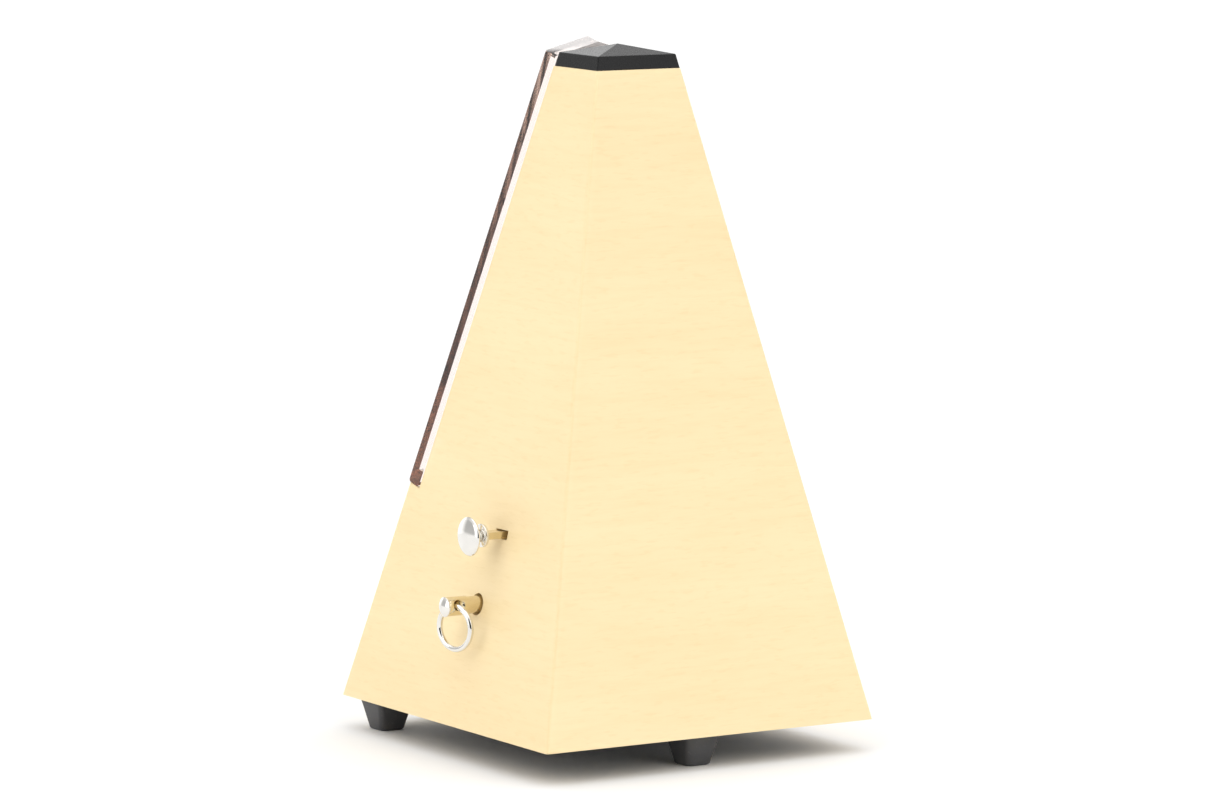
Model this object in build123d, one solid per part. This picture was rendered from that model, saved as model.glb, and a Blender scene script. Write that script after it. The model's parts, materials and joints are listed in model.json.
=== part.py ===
from build123d import *
import os
from math import asin, atan, atan2, cos, degrees, dist, pi, radians, sin

# Wind-up pyramid metronome. Millimetres, +Z up, front towards -Y, winding key towards +X.
# The origin is on the ground, under the middle of the case.

# ---- case -------------------------------------------------------------------------------------
base_side = 118.0           # outside width of the case at its lower edge
top_side = 30.5             # outside width of the case at its upper edge
case_height = 197.0
board = 5.0                 # thickness of the wooden boards
corner_radius = 1.0         # rounding of the four long corners
base_board_thickness = 4.0
joint_gap = 0.1             # between a panel and the boards that it is set into

# ---- feet -------------------------------------------------------------------------------------
foot_height = 10.0
foot_top = 13.0             # side of the square foot, where it meets the case
foot_bottom = 9.0
foot_side_inset = 10.0      # from the middle of a front foot to the case's side
foot_front_inset = 10.5     # and to its front
foot_back_inset = 11.0      # from the middle of the back foot to the case's back
foot_screw_radius = 1.6
foot_screw_head = 2.8
foot_screw_recess = 4.0
foot_screw_hold = 3.0       # how far the screw goes into the base board

# ---- cap --------------------------------------------------------------------------------------
cap_band = 4.2              # height of the upright band
cap_rise = 2.9              # height of the shallow roof above the band
cap_inset = 0.3             # how far the band stands back from the case faces
cap_skirt = 3.0             # how far the cap reaches down inside the boards

# ---- front cover ------------------------------------------------------------------------------
door_height = 67.7          # from the case's lower edge to the cover's lower edge
cover_depth = 6.0
cover_wall = 2.0
cover_foot = 4.0            # thickness of the cover's lower flange
cover_proud = 0.2
cover_gap = 0.3
cover_rise = 0.2            # how far the cover's sides reach past the cap's band, up the slope
cover_gable = 4.0           # how much longer the cover is in the middle than at its sides
cover_corner = 1.0

# ---- inner panel, scale and catch -------------------------------------------------------------
panel_depth = 16.0          # from the case's front face to the panel's face
panel_thickness = 2.0
rod_slot_width = 22.0
rod_slot_margin = 1.5       # shelf left between the slot and the panel
scale_width = 15.0
scale_end = 37.0            # from the scale's upper end to the end of the cover's sides
scale_thickness = 0.7
scale_start = 10.0          # from the cover's lower edge
pin_radius = 0.8
pin_head = 0.5
catch_width = 14.0
catch_thickness = 1.2
catch_leg = 10.0
catch_notch_radius = 4.0
catch_notch_depth = 0.6
catch_drop = 2.0            # from the panel's upper edge to the catch

# ---- movement ---------------------------------------------------------------------------------
plate_face = 14.0           # inner faces of the plates, from the middle
plate_thickness = 1.5
plate_front = -28.0
plate_back = 26.0
plate_bottom = 21.0
plate_over_verge = 6.0      # from the verge to the plates' upper edge
plate_horn = 3.5            # how much higher the plates' front corner is
horn_back = -20.0
pillar_radius = 2.0
pillar_inset = 3.5          # from the middle of a pillar to the plates' edges
screw_radius = 1.0
screw_head = 1.9
screw_head_height = 1.0
running_gap = 0.05          # radial clearance of every shaft in its bearing
clear_gap = 0.3             # between pieces that must not touch
bracket_y = (-6.0, 14.0)
bracket_height = 30.0
bracket_foot = 12.0
bracket_screw_inset = 4.0

gear_module = 0.6
great_teeth = 60
second_teeth = 50
pinion_teeth = 10
wheel_thickness = 1.5
pinion_length = 3.0
tooth_addendum = 0.42
tooth_dedendum = 0.75
wheel_share = 0.42          # a wheel tooth's part of the pitch
pinion_share = 0.34
wheel_holes = 5
wheel_hole_circle = 0.65    # the lightening holes' circle, as a share of the pitch radius
wheel_hole_radius = 0.16

key_y = 6.5                 # winding arbor
key_z = 46.8
second_bearing = degrees(atan2(-4.7, -20.5))    # direction from the winding arbor, looking along -X
crown_bearing = degrees(atan2(17.9, 2.0))       # direction from the second arbor

arbor_radius = 1.6
small_arbor_radius = 0.8
great_wheel_x = 9.2
ratchet_x = 7.2
second_wheel_x = -12.2
second_pinion_x = 8.45
crown_pinion_x = -13.2

ratchet_radius = 7.0
ratchet_teeth = 24
ratchet_step = 0.7
click_pivot_share = 2 / 3   # the click's pivot, as a share of the great wheel's pitch radius
click_bearing = 105.0
click_span = 38.0           # angle from the click's pivot to its nose
click_nose_radius = 0.6
click_boss_radius = 1.8
click_pin_radius = 0.8

spring_inner_radius = 3.2
spring_room = 1.4           # from the mainspring to the crown wheel
spring_strip = 0.6
spring_turns = 7
spring_x = -8.0
spring_width = 12.0

# ---- escapement and pendulum ------------------------------------------------------------------
verge_radius = 1.0
pivot_room = 6.9            # from the front board's inner face to the rod's cross pin
pallet_reach = 2.3
pallet_thickness = 0.6
pallet_angle = 40.0
crown_radius = 8.0
crown_rim = 1.1
crown_teeth = 12
crown_tooth_depth = 2.6
crown_tip_x = -2.6
crown_back_x = -9.0
crown_web = 1.2
cock_thickness = 1.5
cock_room = 4.17            # from the crown wheel to the verge's back end
bridge_thickness = 1.5
bridge_height = 12.0

rod_splay = 1.5             # the parked rod stands steeper than the case's front by this angle
rod_width = 3.0
rod_thickness = 1.1
rod_headroom = 3.6          # from the rod's tip to the cap's skirt
rod_bottom = -26.0
rod_notch = 0.25
tempo_slow = 40
tempo_fast = 208
tempo_low_place = 36.0      # where the weight's top stands at the fastest tempo
tempo_tip = 13.0            # from the slowest tempo's mark to the rod's tip
hub_boss_radius = 2.3
hub_cheek = 1.2
cross_pin_radius = 0.75
bob_radius = 12.0
bob_thickness = 12.0
bob_place = -31.0
weight_place = 62.0
weight_height = 14.0
weight_low_width = 14.0
weight_high_width = 19.0
weight_thickness = 5.4
weight_rounding = 0.6
weight_pocket_inset = 3.0
weight_pocket_depth = 0.9
weight_leaf = 0.4
slide_gap = 0.15

# ---- bell, hammer and selector ----------------------------------------------------------------
selector_y = 11.7
selector_z = 68.5
strip_width = 5.0
strip_thickness = 2.1
strip_inner_x = -19.5
selector_step = 2.0         # one notch of the bell pull
strip_notch = 0.7
guide_x = 15.5
guide_thickness = 1.5
fork_room = 4.0             # from the hammer lever to the end of the fork's slot
slot_low_y = 9.1
slot_high_y = 15.8
slot_low_z = 67.1
slot_high_z = 69.9
collar_radius = 3.6
collar_reach = 5.95         # from the case's side to the collar
collar_length = 1.2
knob_radius = 5.95
knob_reach = 12.85          # from the case's side to the knob's face
knob_dome = 1.3
knob_edge = 1.0
knob_neck_radius = 1.9

hammer_x = -22.75           # middle of the hammer lever, and of the middle cam
hammer_finger_gap = 0.57    # from the hammer's finger to the cams
hammer_stud_radius = 1.5
hammer_sleeve_radius = 2.3
hammer_sleeve = 3.6
hammer_arm = 1.2
hammer_finger = 7.4
cam_radius = 6.0
cam_root = 4.6
cam_thickness = 1.2
cam_lobes = [12, 8, 6, 4]   # a stroke on every second, third, fourth and sixth beat
cam_bridge_x = -30.0
bridge_post_reach = 10.0    # from the crown arbor to the bridge's post, towards the front
bridge_post_drop = 3.0
bridge_end_radius = 4.0

bell_room = 3.0             # from the bell to the boards
bell_rim_z = 74.0
bell_radius = 16.0
bell_height = 11.0
bell_wall = 1.0
bell_straight = 3.0
bell_crown_radius = 6.0
bell_post_radius = 2.0
bell_foot_drop = 1.0        # from the plates' upper edge down to the bracket's arm
bell_tab = 15.0
bell_tab_width = 7.0
bell_screw_radius = 1.5
strike_gap = 0.75           # from the hammer head to the bell at rest
head_radius = 2.5
head_length = 4.0

# ---- winding key ------------------------------------------------------------------------------
key_hole_radius = 3.3
key_inner_radius = 2.65
key_outer_radius = 2.9
key_socket_x = 26.0
key_step_reach = 4.2        # from the case's side to the shaft's step
key_end_reach = 11.0        # and to the end cap
key_tip_reach = 12.6        # and to the end cap's tip
key_cap_radius = 3.05
key_cap_edge = 0.6
key_socket_depth = 9.0
ring_eye_reach = 8.9        # from the case's side to the ring's eye
ring_radius = 6.5
ring_wire = 0.9
ring_turn = 14.0            # the ring's plane is turned this far from the case's side
ring_roll = 13.0            # and its eye is tilted this far

# ---- worked out -------------------------------------------------------------------------------
low_z = foot_height
high_z = foot_height + case_height
slope = (base_side - top_side) / 2 / case_height
tilt = atan(slope)
door_z = low_z + door_height
cut_depth = cover_depth + cover_gap
slope_cut = cut_depth / cos(tilt)
cover_eaves = (high_z + cap_band - door_z) / cos(tilt) + cover_rise
cover_ridge = cover_eaves + cover_gable
scale_length = cover_eaves - scale_end - scale_start


def half(z):
    """Half the case's outside width at a height."""
    return base_side / 2 - slope * (z - low_z)


def polar(centre, radius, angle):
    """A (y, z) point at a radius and an angle in degrees from a (y, z) centre."""
    return (centre[0] + radius * cos(radians(angle)), centre[1] + radius * sin(radians(angle)))


def side_x(z, reach):
    """The x that stands off the case's right side by reach, at a height."""
    return half(z) + reach


# The train sets the verge's height, and the frame, the hammer and the pendulum follow it.
key_centre = (key_y, key_z)
second_centre = polar(key_centre, gear_module * (great_teeth + pinion_teeth) / 2, second_bearing)
crown_centre = polar(second_centre, gear_module * (second_teeth + pinion_teeth) / 2, crown_bearing)
verge_z = crown_centre[1]
spring_outer = dist(key_centre, crown_centre) - crown_radius - spring_room
spring_pitch = (spring_outer - spring_inner_radius - spring_strip) / spring_turns
click_pivot_radius = click_pivot_share * gear_module * great_teeth / 2
click_pivot = polar(key_centre, click_pivot_radius, click_bearing)
click_nose = polar(key_centre, ratchet_radius + clear_gap + click_nose_radius, click_bearing - click_span)

plate_top = verge_z + plate_over_verge
pillar_front = plate_front + pillar_inset
pillar_back = plate_back - pillar_inset
pillar_low = plate_bottom + pillar_inset
pillar_places = [
    (pillar_front, plate_top + plate_horn - 1.25 * pillar_inset),
    (pillar_front, pillar_low),
    (pillar_back, plate_top - pillar_inset),
    (pillar_back, pillar_low),
]

hammer_y = crown_centre[0] + cam_radius + hammer_finger + hammer_finger_gap
hammer_centre = (hammer_y, verge_z)
bridge_post = (crown_centre[0] - bridge_post_reach, verge_z - bridge_post_drop)

bell_y = half(bell_rim_z + bell_straight) - board / cos(tilt) - bell_room - bell_radius
bell_x = -bell_y
bell_post_foot_z = plate_top - bell_foot_drop

key_step_x = side_x(key_z, key_step_reach)
key_end_x = side_x(key_z, key_end_reach)
key_tip_x = side_x(key_z, key_tip_reach)
ring_eye_x = side_x(key_z, ring_eye_reach)
collar_x = side_x(selector_z, collar_reach)
knob_face_x = side_x(selector_z, knob_reach)

pivot_y = board + pivot_room - half(verge_z)
verge_back = crown_centre[0] + crown_radius + cock_room
rod_lean = degrees(tilt) - rod_splay
rod_top = (high_z - cap_skirt - rod_headroom - verge_z) / cos(radians(rod_lean))
tempo_high_place = rod_top - tempo_tip

FRONT = Plane(origin=(0, -half(door_z), door_z), x_dir=(1, 0, 0), z_dir=(0, -cos(tilt), sin(tilt)))
ROD = Plane(
    origin=(0, pivot_y, verge_z),
    x_dir=(1, 0, 0),
    z_dir=(0, -cos(radians(rod_lean)), sin(radians(rod_lean))),
)
RING_TANGENT = (
    -sin(radians(ring_turn)) * cos(radians(ring_roll)),
    cos(radians(ring_turn)) * cos(radians(ring_roll)),
    sin(radians(ring_roll)),
)
RING_NORMAL = (cos(radians(ring_turn)), sin(radians(ring_turn)), 0)


# ---- shapes used throughout -------------------------------------------------------------------
def block(x0, x1, y0, y1, z0, z1):
    """A box between two corners."""
    return Pos((x0 + x1) / 2, (y0 + y1) / 2, (z0 + z1) / 2) * Box(x1 - x0, y1 - y0, z1 - z0)


def across(x):
    """The plane at x whose own axes are +Y and +Z."""
    return Plane(origin=(x, 0, 0), x_dir=(0, 1, 0), z_dir=(1, 0, 0))


def pin_x(x0, x1, centre, radius):
    """A round pin along X."""
    return across(x0) * extrude(Pos(*centre) * Circle(radius), x1 - x0)


def pin_y(y0, y1, x, z, radius):
    """A round pin along Y."""
    return Plane(origin=(x, y0, z), x_dir=(1, 0, 0), z_dir=(0, 1, 0)) * extrude(Circle(radius), y1 - y0)


def dome(radius, low, high):
    """The rounded edge of a turned dome, from its rim to its middle, in the plane it is turned from."""
    ball = (radius**2 + (high - low) ** 2) / (2 * (high - low))
    middle = asin(radius / ball) / 2
    halfway = (ball * sin(middle), high - ball + ball * cos(middle))
    return ThreePointArc((radius, low), halfway, (0, high))


def pin_z(z0, z1, x, y, radius):
    """A round pin along Z."""
    return Pos(x, y, z0) * extrude(Circle(radius), z1 - z0)


def plate_x(x0, x1, points):
    """A flat plate across X, from its (y, z) corners."""
    return across(x0) * extrude(make_face(Polyline(*points, close=True)), x1 - x0)


def frustum(inset, z0, z1, rounding=0.0):
    """The case's pyramid between two heights, its faces moved in by inset."""
    shrink = inset / cos(tilt)
    lower = Pos(0, 0, z0) * Rectangle(2 * (half(z0) - shrink), 2 * (half(z0) - shrink))
    upper = Pos(0, 0, z1) * Rectangle(2 * (half(z1) - shrink), 2 * (half(z1) - shrink))
    body = loft([lower, upper], ruled=True)
    if rounding:
        corners = [e for e in body.edges() if abs(e.bounding_box().size.Z) > 1]
        body = fillet(corners, rounding)
    return body


# ---- case -------------------------------------------------------------------------------------
def cover_room():
    """The room that the front cover needs, cut out of the case."""
    reach = 2 * base_side
    return FRONT * block(-reach, reach, -cover_gap, reach, -cut_depth, reach)


def case_board(turn):
    """One mitred board. Turn 0 is the right side, 90 the back, 180 the left and 270 the front."""
    shell = frustum(0, low_z, high_z, corner_radius) - frustum(board, low_z - 1, high_z + 1)
    reach = base_side
    wedge = make_face(Polyline((0, 0), (reach, -reach), (reach, reach), close=True))
    sector = Pos(0, 0, low_z - 1) * Rot(0, 0, turn) * extrude(wedge, case_height + 2)
    return (shell & sector) - cover_room()


def right_board():
    """The right side, with the key's hole and the bell pull's slot."""
    hole = pin_x(0, base_side, key_centre, key_hole_radius)
    slot = block(0, base_side, slot_low_y, slot_high_y, slot_low_z, slot_high_z)
    return case_board(0) - hole - slot


def base_board():
    board_body = frustum(board + joint_gap, low_z, low_z + base_board_thickness)
    for x, y in foot_places():
        board_body -= pin_z(low_z, low_z + foot_screw_hold, x, y, foot_screw_radius)
    return board_body


def foot_places():
    """The middles of the right, left and back feet."""
    x = base_side / 2 - foot_side_inset
    y = foot_front_inset - base_side / 2
    return [(x, y), (-x, y), (0, base_side / 2 - foot_back_inset)]


def foot(x, y):
    """A tapered square foot with a recessed screw hole."""
    bottom = Rectangle(foot_bottom, foot_bottom)
    top = Pos(0, 0, foot_height) * Rectangle(foot_top, foot_top)
    body = Pos(x, y, 0) * loft([bottom, top], ruled=True)
    sides = [e for e in body.edges() if abs(e.bounding_box().size.Z) > 1]
    body = fillet(sides, corner_radius)
    recess = pin_z(0, foot_screw_recess, x, y, foot_screw_head + joint_gap)
    return body - recess - pin_z(0, foot_height, x, y, foot_screw_radius)


def foot_screws():
    return [
        pin_z(foot_screw_recess - screw_head_height, foot_screw_recess, x, y, foot_screw_head)
        + pin_z(foot_screw_recess, low_z + foot_screw_hold, x, y, foot_screw_radius)
        for x, y in foot_places()
    ]


def top_cap():
    """Band, shallow four-sided roof and the skirt that sits inside the boards."""
    room = cover_room()
    roof_z = high_z + cap_band
    side = half(roof_z) - cap_inset / cos(tilt)
    front = -half(roof_z) + slope_cut
    band = frustum(cap_inset, high_z, roof_z) - room
    roof_base = Pos(0, (front + side) / 2, roof_z) * Rectangle(2 * side, side - front)
    apex = Vertex(0, (front + side) / 2, roof_z + cap_rise)
    skirt = frustum(board + joint_gap, high_z - cap_skirt, high_z) - room
    return band + loft([roof_base, apex], ruled=True) + skirt


# ---- front cover ------------------------------------------------------------------------------
def cover_outline(low, side, eaves, ridge):
    """The cover's gabled outline on the front plane, wide enough for the case's sides to trim."""
    points = [(-side, low), (side, low), (side, eaves), (0, ridge), (-side, eaves)]
    return make_face(Polyline(*points, close=True))


def front_cover():
    """A clear tray: front panel, side walls, lower flange and gabled upper flange."""
    gable_side = half(door_z + cover_eaves * cos(tilt))
    gable_slope = (cover_ridge - cover_eaves) / gable_side
    reach = base_side
    drop = gable_slope * reach
    top_z = high_z + cap_band + cap_rise + cover_wall + cover_depth
    body = extrude(cover_outline(0, reach, cover_ridge - drop, cover_ridge), cover_depth + cover_proud)
    body = (FRONT * Pos(0, 0, -cover_depth) * body) & frustum(-cover_proud, low_z, top_z)
    long_edges = [e for e in body.edges() if e.length > door_height and abs(e.center().Y) > 1]
    outer = sorted(long_edges, key=lambda e: e.center().Y)[:2]
    body = fillet(outer, cover_corner)
    inner_depth = cover_depth - cover_wall + 1
    inner = extrude(
        cover_outline(cover_foot, reach, cover_ridge - drop - cover_wall, cover_ridge - cover_wall),
        inner_depth + cover_proud,
    )
    hollow = (FRONT * Pos(0, 0, -cover_depth - 1) * inner) & frustum(cover_wall, low_z, top_z)
    return body - hollow


# ---- inner panel, scale and catch -------------------------------------------------------------
def panel_top():
    """Length up the slope where the inner panel ends, just under the cap's skirt."""
    return (high_z - cap_skirt - clear_gap - door_z - panel_depth * sin(tilt)) / cos(tilt)


def inner_front_panel():
    """The sloping panel behind the pendulum, with a shelf that is notched for the rod."""
    reach = base_side
    back = -panel_depth - panel_thickness
    panel = FRONT * block(-reach, reach, -cover_gap - panel_thickness, panel_top(), back, -panel_depth)
    shelf_front = -board - joint_gap
    shelf = FRONT * block(
        -reach, reach, -cover_gap - panel_thickness, -cover_gap, -panel_depth, shelf_front
    )
    slot = FRONT * block(
        -rod_slot_width / 2,
        rod_slot_width / 2,
        -cover_gap - 2 * panel_thickness,
        cover_gap,
        -panel_depth + rod_slot_margin,
        0,
    )
    inside = frustum(board + joint_gap, low_z, high_z)
    return ((panel + shelf) & inside) - slot


def scale_plate():
    half_width = scale_width / 2
    return FRONT * block(
        -half_width,
        half_width,
        scale_start,
        scale_start + scale_length,
        -panel_depth,
        -panel_depth + scale_thickness,
    )


def scale_pins():
    side = scale_width / 2 - 2 * pin_radius
    ends = [scale_start + 2 * pin_radius, scale_start + scale_length - 2 * pin_radius]
    top = -panel_depth + scale_thickness
    places = [(x, t) for x in (-side, side) for t in ends]
    return [FRONT * Pos(x, t, top) * extrude(Circle(pin_radius), pin_head) for x, t in places]


def rod_catch():
    """A brass angle on the panel. The parked rod lies just in front of its shallow notch."""
    top = panel_top() - catch_drop
    rod_z = verge_z + (rod_top - catch_leg) * cos(radians(rod_lean))
    rod_y = pivot_y + (rod_top - catch_leg) * sin(radians(rod_lean))
    rod_depth = (rod_y + half(rod_z)) * cos(tilt) + rod_thickness / 2 + 2 * clear_gap
    width = catch_width / 2
    leg = block(-width, width, top - catch_leg, top, -panel_depth, -panel_depth + catch_thickness)
    ledge = block(-width, width, top - catch_thickness, top, -panel_depth, -rod_depth)
    notch = Pos(0, top - catch_thickness / 2, -rod_depth + catch_notch_radius - catch_notch_depth) * (
        Rot(90, 0, 0) * Cylinder(catch_notch_radius, 2 * catch_thickness)
    )
    return FRONT * (leg + ledge - notch)


# ---- movement frame ---------------------------------------------------------------------------
def movement_plate(x0):
    """One brass plate with its bearing holes; the crown arbor's hole is in the left one only."""
    points = [
        (plate_front, plate_bottom),
        (plate_back, plate_bottom),
        (plate_back, plate_top),
        (horn_back + plate_horn, plate_top),
        (horn_back, plate_top + plate_horn),
        (plate_front, plate_top + plate_horn),
    ]
    x1 = x0 + plate_thickness
    body = plate_x(x0, x1, points)
    body -= pin_x(x0, x1, key_centre, arbor_radius + running_gap)
    body -= pin_x(x0, x1, second_centre, small_arbor_radius + running_gap)
    for place in pillar_places:
        body -= pin_x(x0, x1, place, screw_radius)
    if x0 < 0:
        body -= pin_x(x0, x1, crown_centre, small_arbor_radius + running_gap)
    return body


def pillars():
    return [pin_x(-plate_face, plate_face, place, pillar_radius) for place in pillar_places]


def pillar_screws():
    """Heads on the plates' outer faces, shanks through the plates to the pillars' ends."""
    outer = plate_face + plate_thickness
    screws = []
    for place in pillar_places:
        for side in (-1, 1):
            head = sorted((side * outer, side * (outer + screw_head_height)))
            shank = sorted((side * plate_face, side * outer))
            screws.append(pin_x(*head, place, screw_head) + pin_x(*shank, place, screw_radius))
    return screws


def base_brackets():
    """Two steel angles between the plates and the base board."""
    outer = plate_face + plate_thickness
    floor_z = low_z + base_board_thickness
    angles = []
    for side in (-1, 1):
        leg = sorted((side * outer, side * (outer + plate_thickness)))
        toe = sorted((side * outer, side * (outer + bracket_foot)))
        angle = block(*leg, *bracket_y, floor_z, bracket_height)
        angle += block(*toe, *bracket_y, floor_z, floor_z + plate_thickness)
        angles.append(angle)
    return angles


def bracket_screws():
    top = low_z + base_board_thickness + plate_thickness
    x = plate_face + bracket_foot - bracket_screw_inset + plate_thickness
    ends = (bracket_y[0] + bracket_screw_inset, bracket_y[1] - bracket_screw_inset)
    places = [(side * x, y) for side in (-1, 1) for y in ends]
    return [pin_z(top, top + screw_head_height, *place, screw_head) for place in places]


def verge_bridge():
    """The plate across the movement's front edge that carries the verge's front bearing."""
    side = plate_face + plate_thickness
    low = verge_z - bridge_height / 2
    body = block(-side, side, plate_front - bridge_thickness, plate_front, low, low + bridge_height)
    return body - pin_y(plate_front - bridge_thickness, plate_front, 0, verge_z, verge_radius + running_gap)


def verge_cock():
    """A short arm from the left plate with the verge's back bearing."""
    back = verge_back - clear_gap
    front = back - cock_thickness
    arm = block(-plate_face, 3.0, front, back, verge_z - 2, verge_z + 4)
    foot_flange = block(-plate_face, -plate_face + cock_thickness, back, back + 6, verge_z - 2, verge_z + 4)
    return arm + foot_flange - pin_y(front, back, 0, verge_z, verge_radius * 0.6 + running_gap)


def selector_guide():
    """The upright on the right plate that the bell pull's strip slides through."""
    gap = 2 * running_gap
    body = block(guide_x, guide_x + guide_thickness, 4.0, 18.0, 56.0, selector_z + 4)
    return body - block(
        guide_x,
        guide_x + guide_thickness,
        selector_y - strip_width / 2 - gap,
        selector_y + strip_width / 2 + gap,
        selector_z - strip_thickness / 2 - gap,
        selector_z + strip_thickness / 2 + gap,
    )


def cam_bridge():
    """The outer bearing of the crown arbor, on the hammer's stud and one post."""
    outer = cam_bridge_x - plate_thickness
    ends = [Pos(*place) * Circle(bridge_end_radius) for place in (hammer_centre, bridge_post)]
    bar = make_hull((ends[0] + ends[1]).edges())
    body = across(outer) * extrude(bar, plate_thickness)
    return body - pin_x(outer, cam_bridge_x, crown_centre, small_arbor_radius + running_gap)


def bridge_posts():
    """The hammer's stud, and the plain post at the bridge's other end."""
    outer = -plate_face - plate_thickness
    return [
        pin_x(cam_bridge_x, outer, hammer_centre, hammer_stud_radius),
        pin_x(cam_bridge_x, outer, bridge_post, pillar_radius),
    ]


# ---- gears ------------------------------------------------------------------------------------
def gear_face(teeth, share, phase):
    """A clock gear's outline. Share is the tooth's part of the pitch; a tooth points at phase."""
    pitch_radius = gear_module * teeth / 2
    tip = pitch_radius + tooth_addendum
    root = pitch_radius - tooth_dedendum
    step = 360 / teeth
    tip_half = step * share * 0.28 * pitch_radius / tip
    root_half = step * share * 0.55 * pitch_radius / root
    points = []
    for tooth in range(teeth):
        middle = phase + tooth * step
        points += [
            polar((0, 0), root, middle - root_half),
            polar((0, 0), tip, middle - tip_half),
            polar((0, 0), tip, middle + tip_half),
            polar((0, 0), root, middle + root_half),
        ]
    return make_face(Polyline(*points, close=True))


def wheel(x0, centre, teeth, phase, bore):
    """A wheel with round lightening holes."""
    pitch_radius = gear_module * teeth / 2
    face = gear_face(teeth, wheel_share, phase) - Circle(bore)
    for index in range(wheel_holes):
        place = polar((0, 0), wheel_hole_circle * pitch_radius, 360 / wheel_holes * index)
        face -= Pos(*place) * Circle(wheel_hole_radius * pitch_radius)
    return across(x0) * extrude(Pos(*centre) * face, wheel_thickness)


def pinion(x0, length, centre, phase):
    return across(x0) * extrude(Pos(*centre) * gear_face(pinion_teeth, pinion_share, phase), length)


def great_wheel():
    return wheel(great_wheel_x, key_centre, great_teeth, second_bearing, arbor_radius + running_gap)


def second_wheel():
    return wheel(second_wheel_x, second_centre, second_teeth, crown_bearing, small_arbor_radius)


def second_arbor():
    """Arbor and pinion in one piece of steel."""
    outer = plate_face + plate_thickness
    phase = second_bearing + 180 + 180 / pinion_teeth
    leaves = pinion(second_pinion_x, pinion_length, second_centre, phase)
    return pin_x(-outer, outer, second_centre, small_arbor_radius) + leaves


def crown_arbor():
    """Arbor and pinion, from the cam bridge to inside the crown wheel."""
    phase = crown_bearing + 180 + 180 / pinion_teeth
    leaves = pinion(crown_pinion_x, pinion_length, crown_centre, phase)
    end = crown_back_x + crown_web + 1.5
    return pin_x(cam_bridge_x - plate_thickness, end, crown_centre, small_arbor_radius) + leaves


def crown_wheel():
    """A cup with twelve saw teeth on its rim, facing the verge."""
    y, z = crown_centre
    cup = pin_x(crown_back_x, crown_tip_x, crown_centre, crown_radius)
    cup -= pin_x(crown_back_x + crown_web, crown_tip_x, crown_centre, crown_radius - crown_rim)
    cup -= pin_x(crown_back_x, crown_tip_x, crown_centre, small_arbor_radius)
    pitch = 2 * pi * (crown_radius - crown_rim / 2) / crown_teeth
    tip_land = 0.5
    gap = [
        (-pitch / 2 + tip_land, crown_tip_x),
        (pitch / 2, crown_tip_x - crown_tooth_depth),
        (pitch / 2, crown_tip_x + 1),
        (-pitch / 2 + tip_land, crown_tip_x + 1),
    ]
    for tooth in range(crown_teeth):
        angle = tooth * 360 / crown_teeth
        radial = (0, cos(radians(angle)), sin(radians(angle)))
        tangent = (0, -sin(radians(angle)), cos(radians(angle)))
        place = Plane(origin=(0, y, z), x_dir=tangent, z_dir=radial)
        sign = 1 if place.y_dir.X > 0 else -1
        face = make_face(Polyline(*[(s, sign * x) for s, x in gap], close=True))
        cup -= place * Pos(0, 0, crown_radius - 2 * crown_rim) * extrude(face, 3 * crown_rim)
    return cup


def cam_stack():
    """Four stars on a sleeve; the hammer's finger is moved from one to the next."""
    sleeve_start = hammer_x - 2 * selector_step
    sleeve_end = hammer_x + 2 * selector_step + cam_thickness / 2
    body = pin_x(sleeve_start, sleeve_end, crown_centre, cam_root - 1)
    for index, lobes in enumerate(cam_lobes):
        x0 = hammer_x + (index - 1) * selector_step - cam_thickness / 2
        points = []
        for lobe in range(lobes):
            step = 360 / lobes
            points.append(polar((0, 0), cam_radius, lobe * step))
            points.append(polar((0, 0), cam_root, lobe * step + min(step / 2, 18)))
            points.append(polar((0, 0), cam_root, (lobe + 1) * step - 2))
        star = make_face(Polyline(*points, close=True))
        body += across(x0) * extrude(Pos(*crown_centre) * star, cam_thickness)
    return body - pin_x(sleeve_start, sleeve_end, crown_centre, small_arbor_radius)


# ---- winding ----------------------------------------------------------------------------------
def winding_arbor():
    return pin_x(
        -plate_face - plate_thickness, key_socket_x + key_socket_depth, key_centre, arbor_radius
    )


def ratchet_wheel():
    """Saw teeth that the click would drop behind."""
    points = []
    step = 360 / ratchet_teeth
    for tooth in range(ratchet_teeth):
        points.append(polar((0, 0), ratchet_radius, tooth * step))
        points.append(polar((0, 0), ratchet_radius - ratchet_step, tooth * step + 1))
    face = make_face(Polyline(*points, close=True)) - Circle(arbor_radius)
    return across(ratchet_x) * extrude(Pos(*key_centre) * face, wheel_thickness)


def click():
    """The pawl, a hair clear of the ratchet's teeth."""
    shape = make_hull(
        (Pos(*click_pivot) * Circle(click_boss_radius) + Pos(*click_nose) * Circle(click_nose_radius)).edges()
    )
    face = shape - Pos(*click_pivot) * Circle(click_pin_radius + running_gap)
    return across(ratchet_x) * extrude(face, wheel_thickness)


def click_screw():
    """The click's pivot, riveted to the great wheel's face."""
    head_x = ratchet_x - clear_gap - screw_head_height
    head = pin_x(head_x, head_x + screw_head_height, click_pivot, screw_head)
    return head + pin_x(head_x, great_wheel_x, click_pivot, click_pin_radius)


def click_spring():
    """A curved wire round the great wheel's face that presses on the click."""
    radius = click_pivot_radius + click_boss_radius + 2 * clear_gap
    start = click_bearing - 30
    band = Circle(radius + spring_strip) - Circle(radius)
    keep = make_face(
        Polyline((0, 0), *[polar((0, 0), 2 * radius, start + step) for step in (0, 35, 70, 105)], close=True)
    )
    foot_place = polar((0, 0), radius + spring_strip / 2, start + 105)
    face = (band & keep) + Pos(*foot_place) * Circle(screw_radius)
    return across(great_wheel_x - 1.0) * extrude(Pos(*key_centre) * face, 1.0)


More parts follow.
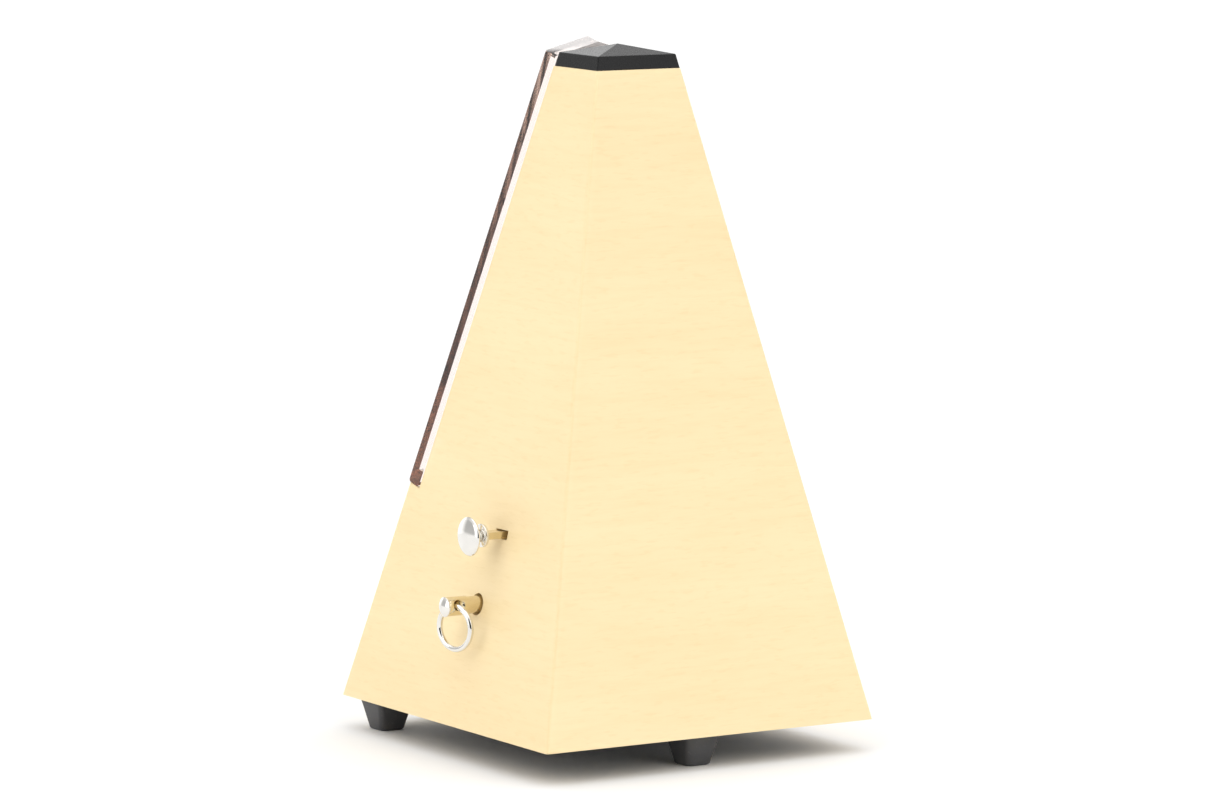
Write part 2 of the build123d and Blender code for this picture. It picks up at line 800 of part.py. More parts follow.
def mainspring():
    """A coiled strip, made of half circles about two centres a quarter pitch each side."""
    half_pitch = spring_pitch / 2

    def chain(radius):
        arcs = []
        for turn in range(2 * spring_turns):
            centre = 0 if turn % 2 == 0 else half_pitch
            arcs.append(
                CenterArc((centre, 0), radius + turn * half_pitch, 0 if turn % 2 == 0 else 180, 180)
            )
        return arcs

    inner = chain(spring_inner_radius)
    outer = chain(spring_inner_radius + spring_strip)
    ends = [Line(inner[0] @ 0, outer[0] @ 0), Line(inner[-1] @ 1, outer[-1] @ 1)]
    face = make_face(inner + outer + ends)
    return across(spring_x) * extrude(Pos(*key_centre) * face, spring_width)


def spring_hub():
    """The steel sleeve that the mainspring's inner end hooks onto."""
    sleeve = pin_x(spring_x, spring_x + spring_width, key_centre, spring_inner_radius - clear_gap)
    return sleeve - pin_x(spring_x, spring_x + spring_width, key_centre, arbor_radius)


def ring_curve():
    """The ring's middle circle, as (plane, radius); it passes through the eye's middle."""
    down = Vector(*RING_NORMAL).cross(Vector(*RING_TANGENT))
    down = down if down.Z < 0 else down * -1
    centre = Vector(ring_eye_x, key_y, key_z) + down * ring_radius
    return Plane(origin=centre, x_dir=RING_TANGENT, z_dir=RING_NORMAL)


def key_ring():
    section = Pos(ring_radius, 0, 0) * Rot(90, 0, 0) * Circle(ring_wire)
    return ring_curve() * revolve(section, Axis.Z, 360)


def winding_key_shaft():
    shaft = pin_x(key_socket_x, key_step_x, key_centre, key_inner_radius)
    shaft += pin_x(key_step_x, key_end_x, key_centre, key_outer_radius)
    shaft -= pin_x(key_socket_x, key_socket_x + key_socket_depth, key_centre, arbor_radius)
    return shaft - ring_path()


def ring_path():
    """Room for the ring's wire to swing in its eye: a hole that flares both ways."""
    eye = Plane(origin=(ring_eye_x, key_y, key_z), x_dir=RING_NORMAL, z_dir=RING_TANGENT)
    inner = ring_radius - ring_wire - slide_gap
    reach = key_cap_radius + ring_wire / 2
    flare = ring_radius - (inner**2 - reach**2) ** 0.5
    profile = make_face(
        [
            Line((0, -reach), (flare, -reach)),
            ThreePointArc((flare, -reach), (ring_radius - inner, 0), (flare, reach)),
            Line((flare, reach), (0, reach)),
            Line((0, reach), (0, -reach)),
        ]
    )
    return eye * revolve(Rot(90, 0, 0) * profile, Axis.Z, 360)


def key_end_cap():
    """A nickelled dome closing the key's end."""
    length = key_tip_x - key_end_x
    profile = make_face(
        [
            Line((0, 0), (key_cap_radius, 0)),
            Line((key_cap_radius, 0), (key_cap_radius, key_cap_edge)),
            dome(key_cap_radius, key_cap_edge, length),
            Line((0, length), (0, 0)),
        ]
    )
    turned = revolve(Rot(90, 0, 0) * profile, Axis.Z, 360)
    return across(key_end_x) * Pos(*key_centre) * turned


# ---- verge and pendulum -----------------------------------------------------------------------
def verge():
    """Arbor with two pallets, one at each edge of the crown wheel."""
    front = pivot_y + hub_boss_radius + clear_gap
    body = pin_y(front, verge_back - cock_thickness - clear_gap, 0, verge_z, verge_radius)
    body += pin_y(verge_back - cock_thickness - clear_gap, verge_back, 0, verge_z, verge_radius * 0.6)
    for side in (-1, 1):
        y = crown_centre[0] + side * (crown_radius - crown_rim / 2)
        blade = block(-pallet_reach, 0, -crown_rim, crown_rim, -pallet_thickness / 2, pallet_thickness / 2)
        body += Pos(0, y, verge_z) * Rot(0, side * pallet_angle, 0) * blade
    return body


def pendulum_hub():
    """A fork on the verge's front end, whose two cheeks hold the rod's cross pin."""
    inner = rod_width / 2 + 0.5 + running_gap
    outer = inner + hub_cheek
    back = pivot_y + hub_boss_radius + clear_gap
    height = hub_boss_radius
    body = block(-outer, outer, back, back + 1.6, verge_z - height, verge_z + height)
    for side in (-1, 1):
        cheek = sorted((side * inner, side * outer))
        body += block(*cheek, pivot_y - height, back, verge_z - height, verge_z + height)
    body -= pin_y(back, back + 1.6, 0, verge_z, verge_radius)
    return body - pin_x(-outer, outer, (pivot_y, verge_z), cross_pin_radius)


def cross_pin():
    outer = rod_width / 2 + 0.5 + running_gap + hub_cheek
    return pin_x(-outer, outer, (pivot_y, verge_z), cross_pin_radius)


def tempo_places():
    """How far above the pivot the weight's upper edge stands for each marked tempo."""
    tempos = [*range(tempo_slow, 60, 2), *range(60, 72, 3), *range(72, 120, 4)]
    tempos += [*range(120, 144, 6), *range(144, tempo_fast + 1, 8)]
    span = tempo_high_place - tempo_low_place
    return [tempo_high_place - span * ((t - tempo_slow) / (tempo_fast - tempo_slow)) ** 0.8 for t in tempos]


def pendulum_rod():
    """A flat steel rod with a boss at its pivot and a row of fine notches."""
    rod = block(-rod_width / 2, rod_width / 2, rod_bottom, rod_top, -rod_thickness / 2, rod_thickness / 2)
    boss_half = rod_width / 2 + 0.5
    boss = Rot(0, 90, 0) * Cylinder(hub_boss_radius, 2 * boss_half)
    notch = Rot(45, 0, 0) * Box(rod_width, rod_notch * 2**0.5, rod_notch * 2**0.5)
    notches = [Pos(0, place, rod_thickness / 2) * notch for place in tempo_places()]
    bore = Rot(0, 90, 0) * Cylinder(cross_pin_radius + running_gap, 2 * boss_half)
    return ROD * (rod + boss - notches - bore)


def bob():
    """The fixed lower weight, slotted to take the rod's end."""
    body = Pos(0, bob_place, 0) * Cylinder(bob_radius, bob_thickness)
    body = fillet(body.edges().filter_by(GeomType.CIRCLE), corner_radius)
    slot = block(
        -rod_width / 2, rod_width / 2, rod_bottom, rod_top, -rod_thickness / 2, rod_thickness / 2
    )
    bore = Pos(0, bob_place, rod_thickness / 2) * extrude(Circle(screw_radius), bob_thickness)
    return ROD * (body - slot - bore)


def bob_screw():
    """The set screw through the bob's face."""
    body = Pos(0, bob_place, rod_thickness / 2) * extrude(Circle(screw_radius), bob_thickness / 2)
    head = Pos(0, bob_place, bob_thickness / 2) * extrude(Circle(screw_head), screw_head_height)
    return ROD * (body + head)


def sliding_weight():
    """A tapered block with a slot for the rod and a pocket for its spring."""
    low, high = weight_place - weight_height / 2, weight_place + weight_height / 2
    outline = [
        (-weight_low_width / 2, low),
        (weight_low_width / 2, low),
        (weight_high_width / 2, high),
        (-weight_high_width / 2, high),
    ]
    face = make_face(Polyline(*outline, close=True))
    body = Pos(0, 0, -weight_thickness / 2) * extrude(face, weight_thickness)
    body = fillet(body.edges(), weight_rounding)
    side = rod_width / 2 + slide_gap
    depth = rod_thickness / 2 + slide_gap
    slot = block(-side, side, low - 1, high + 1, -depth, depth)
    ends = (low + weight_pocket_inset, high - weight_pocket_inset)
    pocket = block(-side, side, *ends, -depth - weight_pocket_depth, -depth)
    return ROD * (body - slot - pocket)


def weight_spring():
    """The small leaf in the weight's pocket that rubs on the rod."""
    low, high = weight_place - weight_height / 2, weight_place + weight_height / 2
    side = rod_width / 2
    bottom = -rod_thickness / 2 - slide_gap - weight_pocket_depth
    ends = (low + weight_pocket_inset, high - weight_pocket_inset)
    return ROD * block(-side, side, *ends, bottom, bottom + weight_leaf)


# ---- bell, hammer and selector ----------------------------------------------------------------
def bell():
    """A turned brass dome, open downwards."""
    hole = bell_screw_radius + running_gap
    shoulder = (bell_crown_radius, bell_height)
    wide = bell_radius - bell_crown_radius
    tall = bell_height - bell_straight
    bend = (bell_crown_radius, bell_straight)
    inner_shoulder = (bell_crown_radius, bell_height - bell_wall)
    rim = bell_radius - bell_wall
    profile = make_face(
        [
            Line((hole, bell_height), shoulder),
            EllipticalCenterArc(bend, wide, tall, arc_size=90),
            Line((bell_radius, bell_straight), (bell_radius, 0)),
            Line((bell_radius, 0), (rim, 0)),
            Line((rim, 0), (rim, bell_straight)),
            EllipticalCenterArc(bend, wide - bell_wall, tall - bell_wall, arc_size=90),
            Line(inner_shoulder, (hole, bell_height - bell_wall)),
            Line((hole, bell_height - bell_wall), (hole, bell_height)),
        ]
    )
    return Pos(bell_x, bell_y, bell_rim_z) * revolve(Rot(90, 0, 0) * profile, Axis.Z, 360)


def bell_bracket():
    """A steel angle on the left plate with the post that the bell stands on."""
    outer = -plate_face - plate_thickness
    back = bell_y + 2 * bell_post_radius
    tab_back = min(bell_y, pillar_back - screw_head) - clear_gap
    tab_y = (tab_back - bell_tab_width, tab_back)
    tab = block(outer - plate_thickness, outer, *tab_y, bell_post_foot_z - bell_tab, bell_post_foot_z)
    arm_y = (tab_y[0], back)
    arm = block(bell_x - 4, outer, *arm_y, bell_post_foot_z, bell_post_foot_z + plate_thickness)
    crown_z = bell_rim_z + bell_height - bell_wall
    post = pin_z(bell_post_foot_z + plate_thickness, crown_z, bell_x, bell_y, bell_post_radius)
    return tab + arm + post


def bell_screw():
    crown_z = bell_rim_z + bell_height - bell_wall
    shank = pin_z(crown_z, crown_z + bell_wall, bell_x, bell_y, bell_screw_radius)
    top = crown_z + bell_wall
    return shank + pin_z(top, top + 2 * screw_head_height, bell_x, bell_y, 2 * screw_head)


def hammer_lever():
    """Sleeve, finger towards the cams and arm up to the bell."""
    x0 = hammer_x - hammer_arm / 2
    x1 = hammer_x + hammer_arm / 2
    head_y, head_z = hammer_head_centre()
    sleeve = pin_x(
        hammer_x - hammer_sleeve / 2, hammer_x + hammer_sleeve / 2, hammer_centre, hammer_sleeve_radius
    )
    arm = plate_x(
        x0,
        x1,
        [
            (hammer_y - 1, verge_z),
            (hammer_y + 1, verge_z),
            (head_y + 0.6, head_z),
            (head_y - 0.6, head_z),
        ],
    )
    finger = plate_x(
        x0,
        x1,
        [
            (hammer_y, verge_z - hammer_arm),
            (hammer_y, verge_z + hammer_arm),
            (hammer_y - hammer_finger, verge_z + 0.5),
            (hammer_y - hammer_finger, verge_z - 0.5),
        ],
    )
    lever = sleeve + arm + finger
    lever -= hammer_barrel(head_radius)
    return lever - pin_x(x0 - 5, x1 + 5, hammer_centre, hammer_stud_radius + running_gap)


def hammer_head_centre():
    """Middle of the head, whose face stands strike_gap from the bell's rim."""
    return (bell_y - bell_radius - strike_gap - head_length / 2, bell_rim_z + bell_straight / 2)


def hammer_barrel(radius):
    head_y, head_z = hammer_head_centre()
    return pin_y(head_y - head_length / 2, head_y + head_length / 2, hammer_x, head_z, radius)


def hammer_head():
    return hammer_barrel(head_radius)


def selector_strip():
    """The brass strip of the bell pull, with five rest notches in its lower face."""
    low_y, high_y = selector_y - strip_width / 2, selector_y + strip_width / 2
    low, high = selector_z - strip_thickness / 2, selector_z + strip_thickness / 2
    strip = block(strip_inner_x, collar_x, low_y, high_y, low, high)
    notch = Rot(0, 45, 0) * Box(strip_notch, strip_width, strip_notch)
    middle = guide_x + guide_thickness + 4
    for step in range(-2, 3):
        strip -= Pos(middle + step * selector_step, selector_y, low) * notch
    return strip


def selector_fork():
    """The plate on the strip's inner end whose prongs carry the hammer lever along."""
    low = selector_z - strip_thickness / 2
    high = selector_z + strip_thickness / 2
    prong = hammer_arm / 2 + slide_gap
    lever_y = max(hammer_y, hammer_head_centre()[0])
    body = block(hammer_x - 3.25, strip_inner_x, -1.5, selector_y + strip_width / 2, low, high)
    return body - block(hammer_x - prong, hammer_x + prong, -1.5, lever_y + fork_room, low, high)


def selector_collar():
    return pin_x(collar_x, collar_x + collar_length, (selector_y, selector_z), collar_radius)


def selector_knob():
    """A mushroom knob with a slightly domed face."""
    length = knob_face_x - collar_x - collar_length
    rim = length - knob_dome
    profile = make_face(
        [
            Line((0, 0), (knob_neck_radius, 0)),
            Line((knob_neck_radius, 0), (knob_neck_radius, 1.2)),
            ThreePointArc(
                (knob_neck_radius, 1.2),
                (knob_neck_radius + 1.0, rim - knob_edge - 0.7),
                (knob_radius, rim - knob_edge),
            ),
            Line((knob_radius, rim - knob_edge), (knob_radius, rim)),
            dome(knob_radius, rim, length),
            Line((0, length), (0, 0)),
        ]
    )
    turned = revolve(Rot(90, 0, 0) * profile, Axis.Z, 360)
    return across(collar_x + collar_length) * Pos(selector_y, selector_z) * turned


# ---- one file for each node -------------------------------------------------------------------
nodes = {
    "case_right_board": right_board(),
    "case_back_board": case_board(90),
    "case_left_board": case_board(180),
    "case_front_board": case_board(270),
    "base_board": base_board(),
    "foot_front_right": foot(*foot_places()[0]),
    "foot_front_left": foot(*foot_places()[1]),
    "foot_back": foot(*foot_places()[2]),
    "foot_screws": foot_screws(),
    "top_cap": top_cap(),
    "front_cover": front_cover(),
    "inner_front_panel": inner_front_panel(),
    "scale_plate": scale_plate(),
    "scale_pins": scale_pins(),
    "rod_catch": rod_catch(),
    "movement_plate_right": movement_plate(plate_face),
    "movement_plate_left": movement_plate(-plate_face - plate_thickness),
    "pillars": pillars(),
    "pillar_screws": pillar_screws(),
    "base_brackets": base_brackets(),
    "bracket_screws": bracket_screws(),
    "verge_bridge": verge_bridge(),
    "verge_cock": verge_cock(),
    "selector_guide": selector_guide(),
    "cam_bridge": cam_bridge(),
    "bridge_posts": bridge_posts(),
    "great_wheel": great_wheel(),
    "click": click(),
    "click_screw": click_screw(),
    "click_spring": click_spring(),
    "second_wheel": second_wheel(),
    "second_arbor": second_arbor(),
    "crown_wheel": crown_wheel(),
    "crown_arbor": crown_arbor(),
    "cam_stack": cam_stack(),
    "winding_arbor": winding_arbor(),
    "ratchet_wheel": ratchet_wheel(),
    "mainspring": mainspring(),
    "spring_hub": spring_hub(),
    "winding_key_shaft": winding_key_shaft(),
    "key_end_cap": key_end_cap(),
    "key_ring": key_ring(),
    "verge": verge(),
    "pendulum_hub": pendulum_hub(),
    "cross_pin": cross_pin(),
    "pendulum_rod": pendulum_rod(),
    "bob": bob(),
    "bob_screw": bob_screw(),
    "sliding_weight": sliding_weight(),
    "weight_spring": weight_spring(),
    "bell": bell(),
    "bell_bracket": bell_bracket(),
    "bell_screw": bell_screw(),
    "hammer_lever": hammer_lever(),
    "hammer_head": hammer_head(),
    "selector_strip": selector_strip(),
    "selector_fork": selector_fork(),
    "selector_collar": selector_collar(),
    "selector_knob": selector_knob(),
}

os.makedirs("parts", exist_ok=True)
for name, shape in nodes.items():
    solids = [s for piece in (shape if isinstance(shape, list) else [shape]) for s in piece.solids()]
    export_step(solids[0] if len(solids) == 1 else Compound(children=solids), f"parts/{name}.step")
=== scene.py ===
import json
from math import asin, atan2, cos, pi, radians, sin

import bmesh
import bpy
from mathutils import Matrix, Vector


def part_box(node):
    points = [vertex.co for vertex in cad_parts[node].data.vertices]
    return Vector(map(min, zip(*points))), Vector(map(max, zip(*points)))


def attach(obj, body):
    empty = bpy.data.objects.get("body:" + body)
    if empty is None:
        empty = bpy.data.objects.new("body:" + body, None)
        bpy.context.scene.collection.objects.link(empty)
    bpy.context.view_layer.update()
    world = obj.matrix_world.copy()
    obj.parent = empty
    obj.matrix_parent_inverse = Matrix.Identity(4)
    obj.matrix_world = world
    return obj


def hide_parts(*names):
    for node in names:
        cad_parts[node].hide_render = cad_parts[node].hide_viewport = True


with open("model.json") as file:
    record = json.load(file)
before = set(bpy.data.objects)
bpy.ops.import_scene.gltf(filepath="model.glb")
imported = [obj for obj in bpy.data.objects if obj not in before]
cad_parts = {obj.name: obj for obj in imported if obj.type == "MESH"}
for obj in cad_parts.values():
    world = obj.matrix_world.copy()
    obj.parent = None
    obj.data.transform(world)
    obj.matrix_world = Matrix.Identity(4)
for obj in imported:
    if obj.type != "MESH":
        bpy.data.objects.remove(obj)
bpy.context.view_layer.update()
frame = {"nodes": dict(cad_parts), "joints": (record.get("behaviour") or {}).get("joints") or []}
nodes = frame["nodes"]
joints = {j["name"]: j for j in frame["joints"]}
mm = 0.001

# ---- Case boards ------------------------------------------------------------------------------
# Four boards of pale maple, about 5 mm thick, mitred and glued along their long edges. They are
# sanded, their corners are eased, and they have one coat of clear satin lacquer.


class Recipe:
    """A material under construction: its node tree, its shader and short ways to add nodes."""

    def __init__(self, name, colour, roughness, metallic=0.0):
        self.material = bpy.data.materials.new(name)
        self.material.use_nodes = True
        self.tree = self.material.node_tree
        self.shader = self.tree.nodes["Principled BSDF"]
        self.put("Base Color", (*colour, 1.0))
        self.put("Roughness", roughness)
        self.put("Metallic", metallic)
        self.material.diffuse_color = (*colour, 1.0)
        self.place = self.add("ShaderNodeTexCoord").outputs["Object"]

    def put(self, socket, value):
        self.shader.inputs[socket].default_value = value

    def add(self, kind, **settings):
        node = self.tree.nodes.new(kind)
        for key, value in settings.items():
            setattr(node, key, value)
        return node

    def join(self, out, into):
        self.tree.links.new(out, into)
        return out

    def noise(self, scale, stretch=(1, 1, 1), detail=4.0, rough=0.5):
        """Noise at a number of cells for each metre, stretched by the given factors."""
        mapping = self.add("ShaderNodeMapping")
        mapping.inputs["Scale"].default_value = stretch
        self.join(self.place, mapping.inputs["Vector"])
        noise = self.add("ShaderNodeTexNoise")
        noise.inputs["Scale"].default_value = scale
        noise.inputs["Detail"].default_value = detail
        noise.inputs["Roughness"].default_value = rough
        self.join(mapping.outputs["Vector"], noise.inputs["Vector"])
        return noise.outputs["Fac"]

    def ramp(self, value, stops):
        """Colours or greys along a value. Each stop is (position, colour)."""
        node = self.add("ShaderNodeValToRGB")
        while len(node.color_ramp.elements) < len(stops):
            node.color_ramp.elements.new(0.5)
        for element, (position, colour) in zip(node.color_ramp.elements, stops):
            element.position = position
            element.color = (*colour, 1.0) if isinstance(colour, tuple) else (colour, colour, colour, 1.0)
        self.join(value, node.inputs["Fac"])
        return node.outputs["Color"]

    def blend(self, mode, amount, first, second):
        """Two colours mixed; the amount is a number or a socket."""
        node = self.add("ShaderNodeMix", data_type="RGBA", blend_type=mode)
        if isinstance(amount, float):
            node.inputs["Factor"].default_value = amount
        else:
            self.join(amount, node.inputs["Factor"])
        self.join(first, node.inputs["A"])
        self.join(second, node.inputs["B"])
        return node.outputs["Result"]

    def span(self, value, low, high):
        """A 0 to 1 value spread over a range."""
        node = self.add("ShaderNodeMapRange")
        node.inputs["To Min"].default_value = low
        node.inputs["To Max"].default_value = high
        self.join(value, node.inputs["Value"])
        return node.outputs["Result"]

    def bump(self, height, strength, depth):
        """Relief from a height value; depth is in metres. Bumps stack in the order they are made."""
        node = self.add("ShaderNodeBump")
        node.inputs["Strength"].default_value = strength
        node.inputs["Distance"].default_value = depth
        self.join(height, node.inputs["Height"])
        current = self.shader.inputs["Normal"]
        if current.is_linked:
            self.join(current.links[0].from_socket, node.inputs["Normal"])
        self.join(node.outputs["Normal"], current)


def dress(name, recipe, edge=0.0, steps=2):
    """Gives a CAD node its material and, if asked, edges eased by a width in metres."""
    piece = nodes[name]
    for slot in piece.material_slots:
        slot.material = recipe.material
    if edge:
        weld = piece.modifiers.new("weld", "WELD")
        weld.merge_threshold = 0.002 * mm
        easing = piece.modifiers.new("eased edges", "BEVEL")
        easing.width = edge
        easing.segments = steps
        easing.limit_method = "ANGLE"
        easing.angle_limit = radians(38)
        easing.use_clamp_overlap = True
        easing.harden_normals = True
    return piece


def maple(name, along):
    """Lacquered maple whose level grain runs along one axis of the case, 0 for X or 1 for Y."""
    wood = Recipe(name, (0.95, 0.77, 0.46), 0.42)

    def stretched(run, rise):
        factors = [1.0, 1.0, rise]
        factors[along] = run
        return factors

    broad = wood.noise(22, stretched(0.45, 3.0), detail=3.0)
    fine = wood.noise(260, stretched(0.2, 2.2), detail=5.0, rough=0.62)
    flecks = wood.noise(700, stretched(0.3, 1.6), detail=2.0, rough=0.4)
    ground = wood.ramp(broad, [(0.32, (0.94, 0.742, 0.425)), (0.68, (0.955, 0.772, 0.456))])
    streaks = wood.ramp(fine, [(0.36, (0.97, 0.962, 0.93)), (0.56, (1.0, 1.0, 1.0))])
    specks = wood.ramp(flecks, [(0.3, (0.95, 0.925, 0.86)), (0.42, (1.0, 1.0, 1.0))])
    toned = wood.blend("MULTIPLY", 0.8, ground, streaks)
    wood.join(wood.blend("MULTIPLY", 0.5, toned, specks), wood.shader.inputs["Base Color"])
    wood.join(wood.span(fine, 0.36, 0.5), wood.shader.inputs["Roughness"])
    wood.bump(fine, 0.25, 0.05 * mm)
    wood.bump(flecks, 0.12, 0.03 * mm)
    wood.put("Coat Weight", 0.15)
    wood.put("Coat Roughness", 0.25)
    return wood


for board, along in (("right", 1), ("back", 0), ("left", 1), ("front", 0)):
    dress(f"case_{board}_board", maple(f"maple {board}", along), 0.12 * mm)

# ---- Base board -------------------------------------------------------------------------------
# A moulded black panel set between the boards at their lower edge. The feet and the movement's
# two brackets are screwed to it.


def black_moulding(name, shade, grain, gloss, shine=0.3):
    """Black plastic from a spark-finished mould, with a fine even texture."""
    plastic = Recipe(name, (shade, shade, shade * 1.04), gloss)
    plastic.put("Specular IOR Level", shine)
    texture = plastic.noise(grain, detail=3.0, rough=0.55)
    patches = plastic.noise(60, detail=2.0)
    worn_down, rubbed_up = shade * 0.8, shade * 1.2
    tone = plastic.ramp(
        patches,
        [(0.3, (worn_down, worn_down, shade * 0.83)), (0.7, (rubbed_up, rubbed_up, shade * 1.25))],
    )
    rubbed = plastic.ramp(texture, [(0.62, 0.0), (0.75, shade * 0.8)])
    plastic.join(plastic.blend("ADD", 1.0, tone, rubbed), plastic.shader.inputs["Base Color"])
    plastic.join(plastic.span(texture, gloss - 0.08, gloss + 0.1), plastic.shader.inputs["Roughness"])
    plastic.bump(texture, 0.5, 0.06 * mm)
    return plastic


case_plastic = black_moulding("black case plastic", 0.01, 2600, 0.5)
dress("base_board", case_plastic, 0.15 * mm)

# ---- Feet -------------------------------------------------------------------------------------
# Three tapered black feet, 13 mm square at the case and 9 mm at the floor, with a slightly domed
# sole. Each is held by one screw from below, whose head lies in a round recess.

# Painted light: the feet's grey is partly the plastic's own dark tone and partly painted lighter than the
# other black mouldings, standing in for light that reaches the feet under the case.
foot_plastic_with_painted_light = black_moulding("black foot plastic with painted light", 0.066, 1800, 0.42)


def mesh_piece(name, points, faces, recipe, body, smooth=True):
    """A new piece from points and faces, in metres, riding on a body."""
    mesh = bpy.data.meshes.new(name)
    mesh.from_pydata([tuple(p) for p in points], [], faces)
    mesh.validate()
    shape = bmesh.new()
    shape.from_mesh(mesh)
    bmesh.ops.recalc_face_normals(shape, faces=shape.faces)
    shape.to_mesh(mesh)
    shape.free()
    for face in mesh.polygons:
        face.use_smooth = smooth
    mesh.materials.append(recipe.material)
    piece = bpy.data.objects.new(name, mesh)
    bpy.context.scene.collection.objects.link(piece)
    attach(piece, body)
    return piece


def skin(rings, loop=False):
    """Faces that join equal rings of points, with flat ends, or joined back to the first ring."""
    count = len(rings[0])
    points = [p for ring in rings for p in ring]
    faces = []
    last = len(rings) if loop else len(rings) - 1
    for row in range(last):
        below, above = row * count, (row + 1) % len(rings) * count
        for k in range(count):
            nxt = (k + 1) % count
            faces.append((below + k, below + nxt, above + nxt, above + k))
    if not loop:
        faces.append(tuple(range(count))[::-1])
        faces.append(tuple(range(len(points) - count, len(points))))
    return points, faces


def squarish(side, corner, height, steps=8):
    """A ring of points round a square with rounded corners; a corner of half the side is a circle."""
    ring = []
    reach = side / 2 - corner
    for quarter in range(4):
        for step in range(steps + 1):
            angle = quarter * pi / 2 + step / steps * pi / 2
            cx = reach if quarter in (0, 3) else -reach
            cy = reach if quarter in (0, 1) else -reach
            ring.append(Vector((cx + corner * cos(angle), cy + corner * sin(angle), height)))
    return ring


def build_foot(name):
    low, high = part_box(name)
    middle = Vector(((low.x + high.x) / 2, (low.y + high.y) / 2, 0))
    top_side, sole_side = high.x - low.x, 9.0 * mm
    top = high.z
    dome = 0.5 * mm
    recess, recess_depth = 2.9 * mm, 3.0 * mm
    screw_bore = 1.6 * mm
    rings = [
        squarish(2 * screw_bore, screw_bore, top),
        squarish(top_side - 0.6 * mm, 1.2 * mm, top),
        squarish(top_side, 1.5 * mm, top - 0.3 * mm),
    ]
    for share in (0.25, 0.5, 0.75, 1.0):
        side = top_side + (sole_side - top_side) * share
        rings.append(squarish(side, (1.5 + 0.5 * share) * mm, top - (top - 2 * dome) * share))
    for share in (0.3, 0.6, 0.85, 1.0):
        turn = share * pi / 2
        side = sole_side - 3.0 * dome * (1 - cos(turn))
        rings.append(squarish(side, 2.0 * mm, 2 * dome * (1 - sin(turn)) * 0.9 + 0.1 * mm * (1 - share)))
    rings.append(squarish(2 * recess + 0.4 * mm, recess + 0.2 * mm, 0.0))
    rings.append(squarish(2 * recess, recess, 0.2 * mm))
    rings.append(squarish(2 * recess, recess, recess_depth))
    rings.append(squarish(2 * screw_bore, screw_bore, recess_depth + 1.0 * mm))
    points, faces = skin(rings, loop=True)
    piece = mesh_piece(name + "_moulding", [p + middle for p in points], faces, foot_plastic_with_painted_light, "case")
    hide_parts(name)


for foot in ("foot_front_right", "foot_front_left", "foot_back"):
    build_foot(foot)


def metal(name, colour, roughness, brush=(1, 1, 1), scale=900, depth=0.01, spread=0.08):
    """Bare metal with fine marks; brush stretches the marks along one axis."""
    recipe = Recipe(name, colour, roughness, 1.0)
    marks = recipe.noise(scale, brush, detail=4.0, rough=0.6)
    stains = recipe.noise(70, detail=3.0)
    dull = tuple(c * 0.86 for c in colour)
    tone = recipe.ramp(stains, [(0.35, dull), (0.6, colour)])
    recipe.join(tone, recipe.shader.inputs["Base Color"])
    recipe.join(
        recipe.span(marks, max(roughness - spread / 2, 0.02), roughness + spread),
        recipe.shader.inputs["Roughness"],
    )
    recipe.bump(marks, 0.3, depth * mm)
    return recipe


steel = metal("bright steel", (0.56, 0.56, 0.57), 0.28)
dress("foot_screws", steel, 0.15 * mm)

# ---- Movement frame ---------------------------------------------------------------------------
# Two stamped brass plates held apart by four steel pillars, with brass bridges for the verge and
# the crown arbor. Steel angles and screws hold the frame on the base board.

brass = metal("rolled brass", (0.84, 0.67, 0.38), 0.27, (0.12, 1, 1), 1400, 0.012, 0.12)
for node in ("movement_plate_right", "movement_plate_left", "verge_bridge", "verge_cock", "cam_bridge"):
    dress(node, brass, 0.1 * mm)
for node in ("pillars", "pillar_screws", "base_brackets", "bracket_screws", "bridge_posts", "selector_guide"):
    dress(node, steel, 0.12 * mm)

# ---- Gear train and spring --------------------------------------------------------------------
# Brass wheels cut from sheet and steel pinions run between the plates. A blued steel strip, coiled
# round the winding arbor, drives them through a ratchet and a click.

wheel_brass = metal("wheel brass", (0.83, 0.62, 0.3), 0.22, (6, 1, 1), 900, 0.008, 0.1)
blued = metal("blued spring steel", (0.13, 0.15, 0.22), 0.3, (0.1, 1, 1), 1200)
for node in ("great_wheel", "second_wheel", "crown_wheel", "cam_stack"):
    dress(node, wheel_brass)
for node in ("second_arbor", "crown_arbor", "winding_arbor", "ratchet_wheel", "spring_hub"):
    dress(node, steel)
for node in ("click", "click_screw", "verge", "cross_pin"):
    dress(node, steel, 0.05 * mm)
for node in ("mainspring", "click_spring", "weight_spring"):
    dress(node, blued)

# ---- Bell and hammer --------------------------------------------------------------------------
# A spun brass bell, 32 mm across and 1 mm thick, stands mouth down on a steel post. A brass head
# on a steel lever strikes its rim.

bell_brass = metal("polished bell brass", (0.86, 0.66, 0.33), 0.13, (1, 1, 5), 700, 0.006, 0.08)


def turned(name, profile, start, direction, recipe, body, steps=96):
    """A turned piece: (radius, distance) points, in metres, spun round an axis from start."""
    along = Vector(direction).normalized()
    side = along.orthogonal().normalized()
    across = along.cross(side)
    rings = []
    for radius, distance in profile:
        centre = Vector(start) + along * distance
        rings.append(
            [
                centre + (side * cos(2 * pi * k / steps) + across * sin(2 * pi * k / steps)) * radius
                for k in range(steps)
            ]
        )
    points, faces = skin(rings)
    return mesh_piece(name, points, faces, recipe, body)


def quarter(centre, radii, first, last, steps=8):
    """Points along an arc of an ellipse about a (radius, distance) centre, from one angle to another."""
    for step in range(steps + 1):
        angle = radians(first + (last - first) * step / steps)
        yield (centre[0] + radii[0] * cos(angle), centre[1] + radii[1] * sin(angle))


